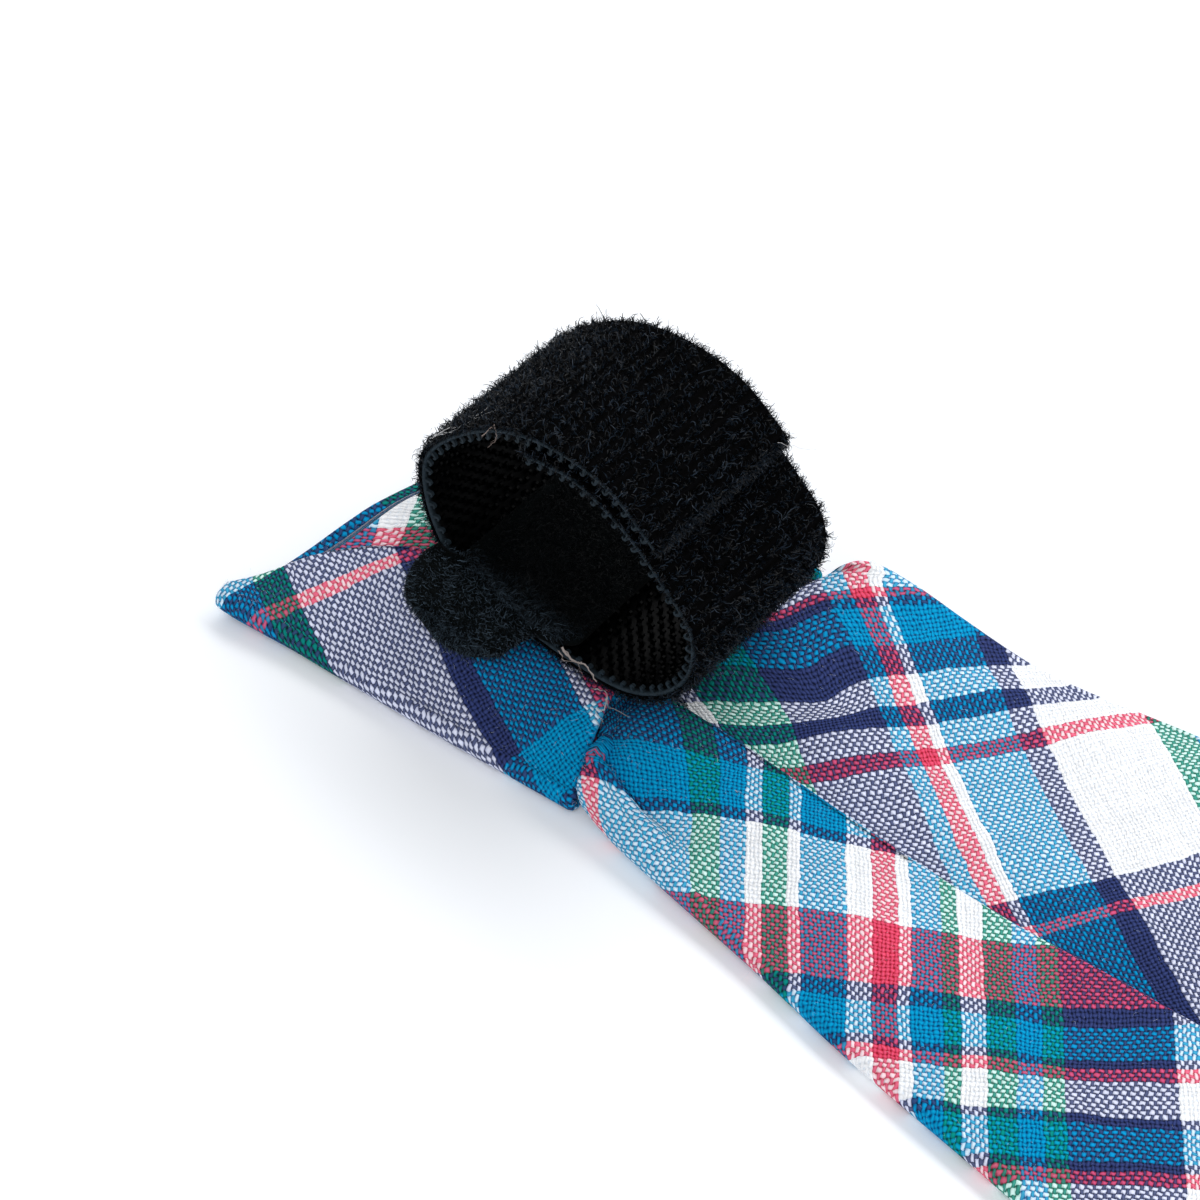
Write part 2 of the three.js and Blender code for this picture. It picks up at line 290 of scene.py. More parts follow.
def fold_arc(centre, radius, floor, angles, flat, zone):
    """Part of a fold round its centre, unrolled from the flat layer it meets at one angle."""
    away = 1 if zone == "front_fold" else -1
    points = []
    for angle in angles:
        turn = math.radians(angle)
        y = centre + radius * math.cos(turn)
        z = floor + radius * (1 + math.sin(turn))
        points.append((y, z, zone, centre + away * radius * (turn - math.radians(flat))))
    return points


def folded_section(s):
    """A folded tube's middle line as (y, z, zone, unrolled y), from the far flap's hidden
    end over the far fold, along the front and round the near fold to the near flap's edge.
    """
    floor = s["lift"] + CLOTH / 2
    near_radius = s["roll"] - CLOTH / 2
    far_radius = s["fold"] - CLOTH / 2
    near_y = s["roll"] - s["near"]
    far_y = s["far"] - s["fold"]
    line = []
    for y in with_edge(spread(s["seam"] - s["tuck"], far_y, FAR_STEPS), True):
        near_height = back_height(s, near_radius, y - near_y)
        under = s["step"] * (1 - ease(y, s["seam"], s["seam"] + LAP))
        open_height = min(back_height(s, far_radius, far_y - y), near_height)
        line.append((y, floor + max(open_height - under, LAYER), "far", y))
    line += fold_arc(far_y, far_radius, floor, spread(90, 0, ARC_STEPS)[1:], 90, "far_fold")
    line += fold_arc(far_y, far_radius, floor, spread(0, -90, ARC_STEPS)[1:-1], -90, "front_fold")
    line += [(y, floor, "front", y) for y in spread(far_y, near_y, FRONT_STEPS)]
    line += fold_arc(near_y, near_radius, floor, spread(-90, -180, ARC_STEPS)[1:], -90, "front_fold")
    line += fold_arc(near_y, near_radius, floor, spread(-180, -270, ARC_STEPS)[1:-1], -270, "near_fold")
    for y in with_edge(spread(near_y, s["seam"], NEAR_STEPS), False):
        line.append((y, floor + back_height(s, near_radius, y - near_y), "near", y))
    return line


FAR_TURN = len(EDGE_SHARES) + FAR_STEPS + ARC_STEPS       # the far fold's outermost column
NEAR_TURN = FAR_TURN + 2 * ARC_STEPS + FRONT_STEPS        # and the near fold's


def to_metres(x, y, z):
    """A place in millimetres from the ring's centre, as a point of the frame."""
    return Vector((ring_x + x / 1000, y / 1000, z / 1000))


def half_thickness(distance):
    """A wall's half thickness near a free edge, which is rounded as a turned edge is."""
    inward = clamp(distance / (CLOTH / 2), 0, 1)
    return CLOTH / 2 * math.sqrt(1 - (1 - inward) ** 2)


def new_piece(name, points, faces, chart, places, material=None, smooth=True):
    """A piece from points and faces, in place, with a chart of two numbers for each corner."""
    mesh = bpy.data.meshes.new(name)
    mesh.from_pydata(points, [], faces)
    mesh.uv_layers.new(name=chart).data.foreach_set("uv", places)
    mesh.polygons.foreach_set("use_smooth", [smooth] * len(mesh.polygons))
    piece = bpy.data.objects.new(name, mesh)
    bpy.context.scene.collection.objects.link(piece)
    if material:
        mesh.materials.append(material)
    return piece


def shell(name, middle, half, flow):
    """Thickens a grid of middle points to a closed wall with rounded edges.
    flow gives a corner's thread counts from its row, its column, its face's column and side.
    """
    m = len(middle)
    n = len(middle[0])
    outer = []
    inner = []
    for i in range(m):
        for j in range(n):
            along = middle[min(i + 1, m - 1)][j] - middle[max(i - 1, 0)][j]
            across = middle[i][min(j + 1, n - 1)] - middle[i][max(j - 1, 0)]
            normal = along.cross(across).normalized()
            outer.append(middle[i][j] + normal * half[i][j] / 1000)
            inner.append(middle[i][j] - normal * half[i][j] / 1000)
    faces = []
    places = []

    def quad(corners, column, inside):
        faces.append([(m * n if inside else 0) + i * n + j for i, j in corners])
        for i, j in corners:
            places.extend(flow(i, j, column, inside))

    for i in range(m - 1):
        for j in range(n - 1):
            quad([(i, j), (i + 1, j), (i + 1, j + 1), (i, j + 1)], j, False)
            quad([(i, j), (i, j + 1), (i + 1, j + 1), (i + 1, j)], j, True)
    piece = new_piece(name, outer + inner, faces, "threads", places)
    close_up(piece)
    return piece


def close_up(piece):
    """Joins a shell's two faces where they meet at its edges, and smooths its shading."""
    bpy.ops.object.select_all(action="DESELECT")
    piece.select_set(True)
    bpy.context.view_layer.objects.active = piece
    bpy.ops.object.mode_set(mode="EDIT")
    bpy.ops.mesh.select_all(action="SELECT")
    bpy.ops.mesh.remove_doubles(threshold=0.000002)
    bpy.ops.mesh.normals_make_consistent(inside=False)
    bpy.ops.object.mode_set(mode="OBJECT")
    bpy.ops.object.shade_smooth()
    piece.select_set(False)


blade_table = as_table(BLADE_COLUMNS, BLADE_ROWS)
tip_lines = [TIP_X - share * CLOTH / 2 for share in (1.0, 0.5, 0.13, 0.0)]
blade_lines = []
for start, end, count in ((NECK_X, 5, 12), (5, 8, 5), (8, 14, 24), (14, 64, 68)):
    blade_lines += spread(start, end, count)[:-1]
blade_lines += spread(64, TIP_X - 1.2, 62) + tip_lines

# How the plaid's threads lie on each flap: a count at the flap's middle, and threads per
# millimetre along the tie and across it
FLAP_X = 30
NEAR_Y = -12
FAR_Y = 8
TAPER = math.radians(8.6)     # each side's fold leans this much from the tie's length
DIVE_COUNT = 134              # the far flap dives into the knot's mouth below this weft count,
DIVE_WIDE = 9                 # fully so this many threads on,
DIVE_WARPS = (8, 24)          # and less and less between these warp counts
DIVE_CLOSER = 4.5             # how many threads closer together its first bands lie there


def near_threads(x, y):
    """The warp and weft counts at a place of the near flap."""
    u = x - FLAP_X
    v = y - NEAR_Y
    bend = clamp(u, -30, 42)
    warp = 183.2 + 2.26 * u + 1.93 * v - 0.003 * v ** 2
    weft = 23.7 + 1.22 * u - 2.6 * v + 0.004 * bend ** 2 + 0.027 * bend * v + 0.021 * v ** 2
    return warp, weft


def far_threads(x, y):
    """The warp and weft counts at a place of the far flap."""
    u = x - FLAP_X
    v = y - FAR_Y
    bend = clamp(u, -30, 35)
    warp = 42.8 + 1.585 * u + 2.43 * v - 0.006 * bend ** 2 - 0.0126 * v ** 2
    weft = 137.4 + 1.85 * u - 1.15 * v + 0.009 * bend ** 2 + 0.0206 * v ** 2
    dive = ease(DIVE_COUNT - weft, 0, DIVE_WIDE) * (1 - ease(warp, *DIVE_WARPS))
    return warp, weft - DIVE_CLOSER * dive


def unfolded(threads, x, y, fold_y, lean):
    """A flap's thread counts carried on over its fold to a place of the front."""
    step = 0.5
    here = threads(x, fold_y)
    side = threads(x, fold_y + step)
    ahead = threads(x + step, fold_y)
    counts = []
    for a, b, c in zip(here, side, ahead):
        across = (b - a) / step
        along = (c - a) / step
        turned = math.sin(2 * lean) * along - math.cos(2 * lean) * across
        counts.append(a + (y - fold_y) * turned)
    return counts


def front_threads(x, y):
    """The counts on the front layer, which both flaps continue round their folds."""
    s = section_at(blade_table, min(x, SHOULDER_X))
    past = max(0, x - SHOULDER_X) * 0.12
    near_y = s["roll"] - s["near"] - past - (s["roll"] - CLOTH / 2) * math.pi / 2
    far_y = s["far"] - s["fold"] + past + (s["fold"] - CLOTH / 2) * math.pi / 2
    from_near = unfolded(near_threads, x, y, near_y, -TAPER)
    from_far = unfolded(far_threads, x, y, far_y, TAPER)
    share = ease(y, near_y, far_y)
    return [a + (b - a) * share for a, b in zip(from_near, from_far)]


def dent_depth(x, y, s):
    """The pinched valley inside the near side's roll, beside the knot's mouth."""
    inward = y - (1.15 * s["roll"] - s["near"])
    along = swell((x - 8.6) / 2.2) * (1 - ease(x, 12, 23))
    return 1.7 * along * ease(inward, 0, 1.5) * math.exp(-max(0, inward - 1.5) / 3.2)


def rumple(x, y, side):
    """The small unevenness of washed cotton, in millimetres."""
    slow = noise.noise(Vector((x / 9.0, y / 9.0, side * 7.3)))
    quick = noise.noise(Vector((x / 3.2, y / 3.2, side * 4.1 + 20)))
    return 0.16 * slow + 0.07 * quick


blade_middle = []
blade_half = []
blade_places = []
for x in blade_lines:
    s = section_at(blade_table, x)
    puff = ease(PUFF_END - x, 0, PUFF_END - MOUTH_X)
    line = folded_section(s)
    row = []
    halves = []
    places = []
    for j, (y, z, zone, rolled) in enumerate(line):
        side = {"far": 1, "near": 2}.get(zone, 0)
        low = dent_depth(x, y, s) if zone == "near" else 0
        reach = s["near"] if y < 0 else s["far"]
        follow = MOUTH_DIP * puff * bow(y, reach) if side else 0
        free = min(abs(y - line[0][0]) if side == 1 else 9, abs(y - s["seam"]) if side == 2 else 9)
        lift = rumple(x, y, side) * (1 if side else 0)
        row.append(to_metres(x - follow, y, z - low + lift))
        halves.append(half_thickness(min(free, TIP_X - x, x - NECK_X)))
        places.append((x, rolled))
    blade_middle.append(row)
    blade_half.append(halves)
    blade_places.append(places)


def blade_flow(i, j, column, inside):
    x, rolled = blade_places[i][j]
    if column < FAR_TURN:
        return far_threads(x, rolled)
    if column < NEAR_TURN:
        return front_threads(x, rolled)
    return near_threads(x, rolled)


blade = shell("blade_cloth_panel", blade_middle, blade_half, blade_flow)

# The plaid's colour order as (thread count, colour) bands. Warp threads run one way in the
# cloth and weft threads the other; each repeat starts in a broad navy band or after one.
NAVY = "#3B4774"
BLUE = "#04A2CD"
WHITE = "#FBFCFD"
RED = "#E95C7E"
GREEN = "#06937F"
WARP_BANDS = (
    (22, NAVY), (6, BLUE), (4, RED), (4, WHITE), (18, BLUE), (6, NAVY), (26, WHITE), (9, GREEN),
    (18, BLUE), (4, WHITE), (5, NAVY), (4, BLUE), (5, RED), (23, BLUE), (6, GREEN), (6, BLUE),
    (4, WHITE), (6, GREEN), (4, WHITE), (11, BLUE), (5, WHITE), (6, RED), (4, WHITE), (6, BLUE),
    (5, GREEN), (6, WHITE), (6, GREEN), (6, BLUE), (6, GREEN), (26, NAVY), (7, WHITE), (16, GREEN),
)
WEFT_BANDS = (
    (13, BLUE), (2, NAVY), (21, WHITE), (16, RED), (4, NAVY), (8, BLUE), (2, NAVY), (3, RED),
    (7, WHITE), (3, NAVY), (7, BLUE), (2, NAVY), (4, RED), (10, WHITE), (3, RED), (2, NAVY),
    (7, BLUE), (8, NAVY), (6, WHITE), (6, NAVY), (6, WHITE), (3, RED), (37, WHITE), (6, NAVY), (4, RED),
    (49, NAVY),
)


def band_colours(tree, count, bands):
    """The colour of the thread with that count, from a repeating list of bands."""
    total = sum(width for width, _ in bands)
    inside = add_node(tree, "Math", {0: count, 1: total}, operation="FLOORED_MODULO")
    share = add_node(tree, "Math", {0: inside.outputs[0], 1: total}, operation="DIVIDE")
    ramp = add_node(tree, "ValToRGB", {"Fac": share.outputs[0]})
    ramp.color_ramp.interpolation = "CONSTANT"
    stops = ramp.color_ramp.elements
    stops.remove(stops[1])
    done = 0
    for width, shade in bands:
        stop = stops[0] if done == 0 else stops.new(done / total)
        stop.position = done / total
        stop.color = colour(shade)
        done += width
    return ramp.outputs["Color"]


# Yarn-dyed cotton in plain weave, washed soft: matt, each thread a row of oval grains that
# dips under the threads it crosses, with small dark holes at the corners between grains.
# Two to three threads a millimetre show at their real size.
cotton, tree = new_material("yarn_dyed_plain_weave_cotton")


def calc(operation, a, b=0.0, c=0.0):
    """A number worked out by a Math node in the material's tree."""
    return add_node(tree, "Math", {0: a, 1: b, 2: c}, operation=operation).outputs[0]


def calc_colour(operation, a, b):
    """A colour worked out channel by channel in the material's tree."""
    return add_node(tree, "VectorMath", {0: a, 1: b}, operation=operation).outputs[0]


def mixed(share, a, b, blend="MIX"):
    """A colour between two others in the material's tree, or one blended with the other."""
    sockets = {0: share, 6: a, 7: b}
    return add_node(tree, "Mix", sockets, data_type="RGBA", blend_type=blend).outputs[2]


threads = add_node(tree, "UVMap", uv_map="threads")
spot = add_node(tree, "TexCoord").outputs["Object"]
sway = add_node(tree, "TexNoise", {"Vector": spot, "Scale": 170.0, "Detail": 2.0})
swayed = add_node(tree, "SeparateColor", {"Color": sway.outputs["Color"]})
shake = add_node(tree, "TexNoise", {"Vector": spot, "Scale": 1500.0, "Detail": 1.0})
shaken = add_node(tree, "SeparateColor", {"Color": shake.outputs["Color"]})
counts = add_node(tree, "SeparateXYZ", {"Vector": threads.outputs["UV"]})


def wander(count, channel):
    """A thread count with a slow sway and a small unevenness, as in hand-washed cloth."""
    slow = calc("MULTIPLY", calc("SUBTRACT", swayed.outputs[channel], 0.5), 2.4)
    small = calc("MULTIPLY", calc("SUBTRACT", shaken.outputs[channel], 0.5), 0.9)
    return calc("ADD", count, calc("ADD", slow, small))


warp_at = wander(counts.outputs["X"], 0)
weft_at = wander(counts.outputs["Y"], 1)
GRAIN_RISE = 0.68             # how far a thread climbs over and under, against its thickness
GRAIN_ROUND = 1.15
THREAD_SHARE = 0.86           # a thread's width as a share of its spacing
GRAIN_SLANT = 0.28            # how far a grain leans, as the yarn's twist turns it
HUE_TAKEN = 0.24              # how much of the crossed threads' hue a thread shows,
LIGHT_TAKEN = 0.055           # and how much of their light


def thread_height(along, across, sign):
    """How high a thread stands: its wave over and under, and its round section."""
    number = calc("FLOOR", across)
    parity = calc("MULTIPLY_ADD", calc("PINGPONG", number, 1.0), -2.0, 1.0)
    wave = calc("SINE", calc("MULTIPLY", along, math.pi))
    wave = calc("MULTIPLY", calc("MULTIPLY", wave, parity), sign * GRAIN_RISE)
    off = calc("MULTIPLY_ADD", calc("FRACT", across), 2.0, -1.0)
    twist = calc("MULTIPLY", calc("SUBTRACT", calc("FRACT", along), 0.5), sign * GRAIN_SLANT)
    off = calc("DIVIDE", calc("ADD", off, twist), THREAD_SHARE)
    section = calc("MULTIPLY", calc("SUBTRACT", 1.0, calc("MULTIPLY", off, off)), GRAIN_ROUND)
    return number, calc("ADD", wave, section)


warp_number, warp_height = thread_height(weft_at, warp_at, 1)
weft_number, weft_height = thread_height(warp_at, weft_at, -1)
over = calc("SUBTRACT", warp_height, weft_height)
edge = add_node(tree, "MapRange", {"Value": over, "From Min": -0.16, "From Max": 0.16})
edge.interpolation_type = "SMOOTHSTEP"
warp_on_top = edge.outputs[0]
top_height = calc("MAXIMUM", warp_height, weft_height)
warp_colour = band_colours(tree, calc("ADD", warp_number, 0.5), WARP_BANDS)
weft_colour = band_colours(tree, calc("ADD", weft_number, 0.5), WEFT_BANDS)
picked = mixed(warp_on_top, weft_colour, warp_colour)
crossed = mixed(warp_on_top, warp_colour, weft_colour)
# A thread takes on a little of the hue of those that it crosses, and of their light
parts = add_node(tree, "SeparateColor", {"Color": crossed}, mode="HSV")
hue = add_node(tree, "CombineColor", {0: parts.outputs[0], 1: parts.outputs[1], 2: 1.0}, mode="HSV")
tinted = mixed(HUE_TAKEN, picked, hue.outputs[0], "MULTIPLY")
lit = mixed(LIGHT_TAKEN, tinted, crossed, "ADD")
warp_luck = add_node(tree, "TexWhiteNoise", {"W": warp_number}, noise_dimensions="1D")
weft_seed = calc("ADD", weft_number, 900.5)
weft_luck = add_node(tree, "TexWhiteNoise", {"W": weft_seed}, noise_dimensions="1D")
luck = add_node(tree, "Mix", {0: warp_on_top, 2: weft_luck.outputs[0], 3: warp_luck.outputs[0]})
slub = add_node(tree, "TexNoise", {"Vector": threads.outputs["UV"], "Scale": 0.9, "Detail": 2.0})
uneven = calc("ADD", calc("MULTIPLY", luck.outputs[0], 0.16), calc("MULTIPLY", slub.outputs["Fac"], 0.30))
luck_shade = calc("ADD", uneven, 0.78)
# Light is lost in the holes between threads, most of it where the dye is dark
holes = {"Value": top_height, "From Min": 0.20, "From Max": 1.65, "To Min": 0.09, "To Max": 1.0}
open_sky = add_node(tree, "MapRange", holes).outputs[0]
lost = calc("SUBTRACT", 1.0, open_sky)
seen = calc_colour("MULTIPLY", lit, open_sky)
returned = calc_colour("MULTIPLY", mixed(0.25, lit, crossed), lost)
deep = calc_colour("DIVIDE", seen, calc_colour("SUBTRACT", (1.0, 1.0, 1.0), returned))
toned = calc_colour("MULTIPLY", deep, luck_shade)
fluff = add_node(tree, "TexNoise", {"Vector": spot, "Scale": 9000.0, "Detail": 2.0})
relief = calc("ADD", top_height, calc("MULTIPLY", fluff.outputs["Fac"], 0.5))
raised = add_node(tree, "Bump", {"Strength": 1.0, "Distance": 0.00008, "Height": relief})
skin(tree, {
    "Base Color": toned, "Roughness": 0.88, "Specular IOR Level": 0.03,
    "Sheen Weight": 0.01, "Sheen Roughness": 0.6, "Normal": raised.outputs["Normal"],
})
blade.data.materials.append(cotton)
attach(blade, "root")
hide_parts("blade")


# ---------------------------------------------------------------------------------------
# The knot: a strip of the same plaid over interlining, folded flat round the blade's neck.
# Its near flap is lapped over the far one from the top corner, and its edges are turned in.
# ---------------------------------------------------------------------------------------
CORNER_X = -30.6
MOUTH_SLANT = 2.4
FRONT_TOP_DIP = 2.8
BACK_TOP_DIP = 7.0
KNOT_LINES = 52

knot_table = as_table("x near far height rise seam lift tuck", (
    (CORNER_X, 20.6, 20.1, 2.2, 16.5, -18.8, 0.6, 0.2),
    (-28.5, 20.5, 20.0, 3.4, 16.5, -15.8, 0.45, 0.8),
    (-26, 20.2, 19.8, 4.8, 16.5, -12.2, 0.3, 2.4),
    (-22, 19.7, 19.5, 6.0, 16, -9.2, 0.1, 4),
    (-17, 19.4, 19.3, 6.8, 15.5, -7.2, 0, 5),
    (-11, 19.1, 19.1, 6.8, 14.5, -6.2, 0, 5),
    (-5, 18.8, 18.8, 6.0, 12.5, -6.0, 0, 4),
    (2, 18.3, 18.2, 5.3, 10, -5.8, 0, 3),
    (9, 17.8, 17.4, 5.3, 8, -5.6, 0, 2.5),
))
KNOT_X = -10
KNOT_Y = -14


def knot_near_threads(x, y):
    """The counts on the knot's near flap, where the cloth lies the other way round."""
    u = x - KNOT_X
    v = y - KNOT_Y
    tilt = clamp(v, -6, 6)
    warp = 60.9 - 1.26 * u - 2.82 * v + 0.004 * u ** 2 - 0.01 * u * tilt + 0.036 * tilt ** 2
    weft = 211 + 1.98 * u - 1.1 * v + 0.0096 * u ** 2 + 0.0057 * u * tilt - 0.02 * tilt ** 2
    return warp, weft - 1.2 * max(0, -27.5 - x)


def knot_front_threads(x, y):
    s = section_at(knot_table, x)
    fold_y = PRESSED - s["near"] - (PRESSED - CLOTH / 2) * math.pi / 2
    return unfolded(knot_near_threads, x, y, fold_y, 0.03)


def knot_far_threads(x, y):
    """The counts on the knot's far flap, where the cloth lies at its own slant."""
    warp = 166 + 1.42 * (x + 23.6) + 0.75 * (y + 8.1)
    weft = 36 + 1.54 * (x + 23.2) - 2.92 * (y + 6.9)
    return warp, weft


RIM = 1.9                     # a strip beside the far flap's top edge, turned over from within


def rim_threads(x, y):
    """The counts on the strip turned over along the top of the knot's far flap."""
    return 95 - 2.3 * (y + 5.2), 215 + 2 * (x + 24)


HEM = 3


def hem_threads(x, y):
    """The counts on the hem turned in along the top of the knot's front."""
    warp = 154 + 1.2 * (x + 23.2) + 2.2 * (y + 4.5)
    weft = 214 + 1.9 * (x + 23.2) - 1.0 * (y + 4.5)
    return warp, weft


top_dips = {"far": BACK_TOP_DIP, "front": FRONT_TOP_DIP}
mouth_dips = {"far": MOUTH_DIP, "near": MOUTH_DIP}
knot_top = section_at(knot_table, CORNER_X)
knot_mouth = section_at(knot_table, MOUTH_X)
knot_edges = []
for (top_y, _, zone, _), (mouth_y, _, _, _) in zip(folded_section(knot_top), folded_section(knot_mouth)):
    slant = MOUTH_SLANT * (mouth_y / knot_mouth["far"] + 1) / 2
    start = CORNER_X + top_dips.get(zone, 0) * bow(top_y, knot_top["far"])
    end = MOUTH_X - slant - mouth_dips.get(zone, 0) * bow(mouth_y, knot_mouth["far"])
    knot_edges.append((start, end))
edge_steps = [share * CLOTH / 2 for share in EDGE_SHARES] + [CLOTH / 2]
knot_rows = KNOT_LINES + 1 + 2 * len(EDGE_SHARES)
knot_middle = [[] for _ in range(knot_rows)]
knot_half = [[] for _ in range(knot_rows)]
knot_places = [[] for _ in range(knot_rows)]
for j, (start, end) in enumerate(knot_edges):
    stations = [start + d for d in edge_steps[:-1]]
    stations += spread(start + CLOTH / 2, end - CLOTH / 2, KNOT_LINES)
    stations += [end - d for d in edge_steps[-2::-1]]
    for i, x in enumerate(stations):
        line = folded_section(section_at(knot_table, x))
        y, z, zone, rolled = line[j]
        side = {"far": 1, "near": 2}.get(zone, 0)
        free = min(x - start, end - x)
        if side == 1:
            free = min(free, y - line[0][0])
        if side == 2:
            free = min(free, line[-1][0] - y)
        lift = rumple(x + 60, y, side + 3) if side else 0
        knot_middle[i].append(to_metres(x, y, z + lift))
        knot_half[i].append(half_thickness(max(free, 0)))
        knot_places[i].append((x, rolled))


def knot_flow(i, j, column, inside):
    x, rolled = knot_places[i][j]
    if inside and FAR_TURN <= column < NEAR_TURN and x < knot_edges[j][0] + HEM:
        return hem_threads(x, rolled)
    if inside and FAR_TURN <= column < NEAR_TURN and x > knot_edges[j][1] - HEM:
        return knot_near_threads(x, rolled)
    if column < FAR_TURN and x < knot_edges[j][0] + RIM:
        return rim_threads(x, rolled)
    if column < FAR_TURN:
        return knot_far_threads(x, rolled)
    if column < NEAR_TURN:
        return knot_front_threads(x, rolled)
    return knot_near_threads(x, rolled)


knot = shell("knot_cloth_wrap", knot_middle, knot_half, knot_flow)
knot.data.materials.append(cotton)
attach(knot, "root")
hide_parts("knot")


# ---------------------------------------------------------------------------------------
# The strap: one length of back-to-back hook-and-loop tape closed in a ring, a moulded film
# that carries the hooks on its inside and a knitted backing that carries the pile outside.
# Its ends lap at the top right, the outer end over the inner one.
# ---------------------------------------------------------------------------------------
STRAP_WIDTH = 18.6
STRAP_FRONT_Y = -10.3
STRAP_SKEW = -2.0             # how far the ring's back edge leans towards the knot's top
STRAP_SINK = -0.6
STRAP_TAPER = 0.05
STRAP_LOW_Z = 8
STRAP_LINE = (
    (-3.2, 28.2), (2.2, 28.7), (7.6, 26.6), (11.9, 23.2), (14.9, 19.8), (14.8, 15.2),
    (12.1, 11.2), (8.0, 8.8), (2.1, 8.3), (-4.0, 8.9), (-9.6, 10.0), (-12.4, 12.2),
    (-14.4, 16.5), (-14.4, 21.0), (-10.9, 25.6), (-5.0, 29.6), (1.3, 30.8), (6.4, 29.8),
    (11.0, 26.5),
)


def through_points(points, step):
    """Even steps along a smooth curve through flat points, as (x, z) pairs."""
    knots = [Vector(p) for p in points]
    knots = [knots[0] * 2 - knots[1]] + knots + [knots[-1] * 2 - knots[-2]]
    fine = []
    for a, b, c, d in zip(knots, knots[1:], knots[2:], knots[3:]):
        ta = math.sqrt((b - a).length)
        tb = math.sqrt((c - b).length)
        tc = math.sqrt((d - c).length)
        leave = ((b - a) / ta - (c - a) / (ta + tb) + (c - b) / tb) * tb
        arrive = ((c - b) / tb - (d - b) / (tb + tc) + (d - c) / tc) * tb
        for t in spread(0, 1, 24)[:-1]:
            curve = b * (2 * t ** 3 - 3 * t ** 2 + 1) + c * (3 * t ** 2 - 2 * t ** 3)
            fine.append(curve + leave * (t ** 3 - 2 * t ** 2 + t) + arrive * (t ** 3 - t ** 2))
    fine.append(knots[-2])
    lengths = [0]
    for a, b in zip(fine, fine[1:]):
        lengths.append(lengths[-1] + (b - a).length)
    count = round(lengths[-1] / step)
    even = []
    k = 0
    for want in spread(0, lengths[-1], count):
        while k < len(fine) - 2 and lengths[k + 1] < want:
            k += 1
        t = (want - lengths[k]) / (lengths[k + 1] - lengths[k])
        even.append(fine[k].lerp(fine[k + 1], t))
    return even, lengths[-1]


strap_path, strap_length = through_points(STRAP_LINE, 0.25)


def strap_at(along, through, out):
    """A place on the strap in millimetres: along it, back through it from 0 to 1, outwards."""
    steps = clamp(along / strap_length, 0, 1) * (len(strap_path) - 1)
    k = min(int(steps), len(strap_path) - 2)
    p = strap_path[k].lerp(strap_path[k + 1], steps - k)
    ahead = strap_path[min(k + 3, len(strap_path) - 1)]
    behind = strap_path[max(k - 2, 0)]
    way = (ahead - behind).normalized()
    lowered = (STRAP_SINK - (p[1] - STRAP_LOW_Z) * STRAP_TAPER) * through
    x = p[0] + STRAP_SKEW * through - way[1] * out
    z = p[1] + lowered + way[0] * out
    return to_metres(x, STRAP_FRONT_Y + STRAP_WIDTH * through, z)


def strap_layer(name, inside, outside, lines):
    """One layer of the tape as a closed wall, between two distances from its base line."""
    middle = (inside + outside) / 2
    edge = (outside - inside) / 2
    ends = [0, 0.02, 0.1, 0.3]
    stations = ends + spread(0.8, strap_length - 0.8, lines) + [strap_length - d for d in ends[::-1]]
    sides = [0, 0.0015, 0.006, 0.015] + spread(0.04, 0.96, 20) + [0.985, 0.994, 0.9985, 1]
    rows = []
    halves = []
    for along in stations:
        rows.append([strap_at(along, t, middle) for t in sides])
        line = []
        for t in sides:
            free = min(along, strap_length - along, t * STRAP_WIDTH, (1 - t) * STRAP_WIDTH)
            inward = clamp(free / edge, 0, 1)
            line.append(edge * math.sqrt(1 - (1 - inward) ** 2))
        halves.append(line)
    return shell(name, rows, halves, lambda i, j, column, inside: (stations[i], sides[j] * STRAP_WIDTH))


STRAP_LINES = 200
film = strap_layer("strap_hook_film", -0.18, 0.20, STRAP_LINES)
backing = strap_layer("strap_backing", 0.21, 0.62, STRAP_LINES)


def two_tones(tree, share, low, high):
    """A colour that runs from one hex colour to another."""
    ramp = add_node(tree, "ValToRGB", {"Fac": share})
    ramp.color_ramp.elements[0].color = colour(low)
    ramp.color_ramp.elements[1].color = colour(high)
    return ramp


# Moulded black nylon film: smooth with a low sheen, nearly black inside the ring, with faint mould
# marks. A painted highlight makes its front edge a thin blue-grey line round the ring's mouth
nylon, tree = new_material("moulded_black_nylon")
spot = add_node(tree, "TexCoord").outputs["Object"]
mould = add_node(tree, "TexNoise", {"Vector": spot, "Scale": 2600.0, "Detail": 3.0})
tone = two_tones(tree, mould.outputs["Fac"], "#010101", "#020304")
# Painted highlight: blue-grey on the film and hooks within half a millimetre of the front edge
painted_edge_highlight = two_tones(tree, mould.outputs["Fac"], "#151C21", "#333F47")
run = add_node(tree, "UVMap", uv_map="threads")
inwards = add_node(tree, "SeparateXYZ", {"Vector": run.outputs["UV"]}).outputs["Y"]
highlight_span = {"Value": inwards, "From Min": 0.10, "From Max": 0.6, "To Min": 1.0, "To Max": 0.0}
highlight_mask = add_node(tree, "MapRange", highlight_span)
mark = add_node(tree, "Bump", {"Strength": 0.4, "Distance": 0.00003, "Height": mould.outputs["Fac"]})
skin(tree, {
    "Base Color": mixed(highlight_mask.outputs[0], tone.outputs["Color"], painted_edge_highlight.outputs["Color"]),
    "Roughness": 0.42, "IOR": 1.53, "Specular IOR Level": 0.03, "Normal": mark.outputs["Normal"],
})
film.data.materials.append(nylon)

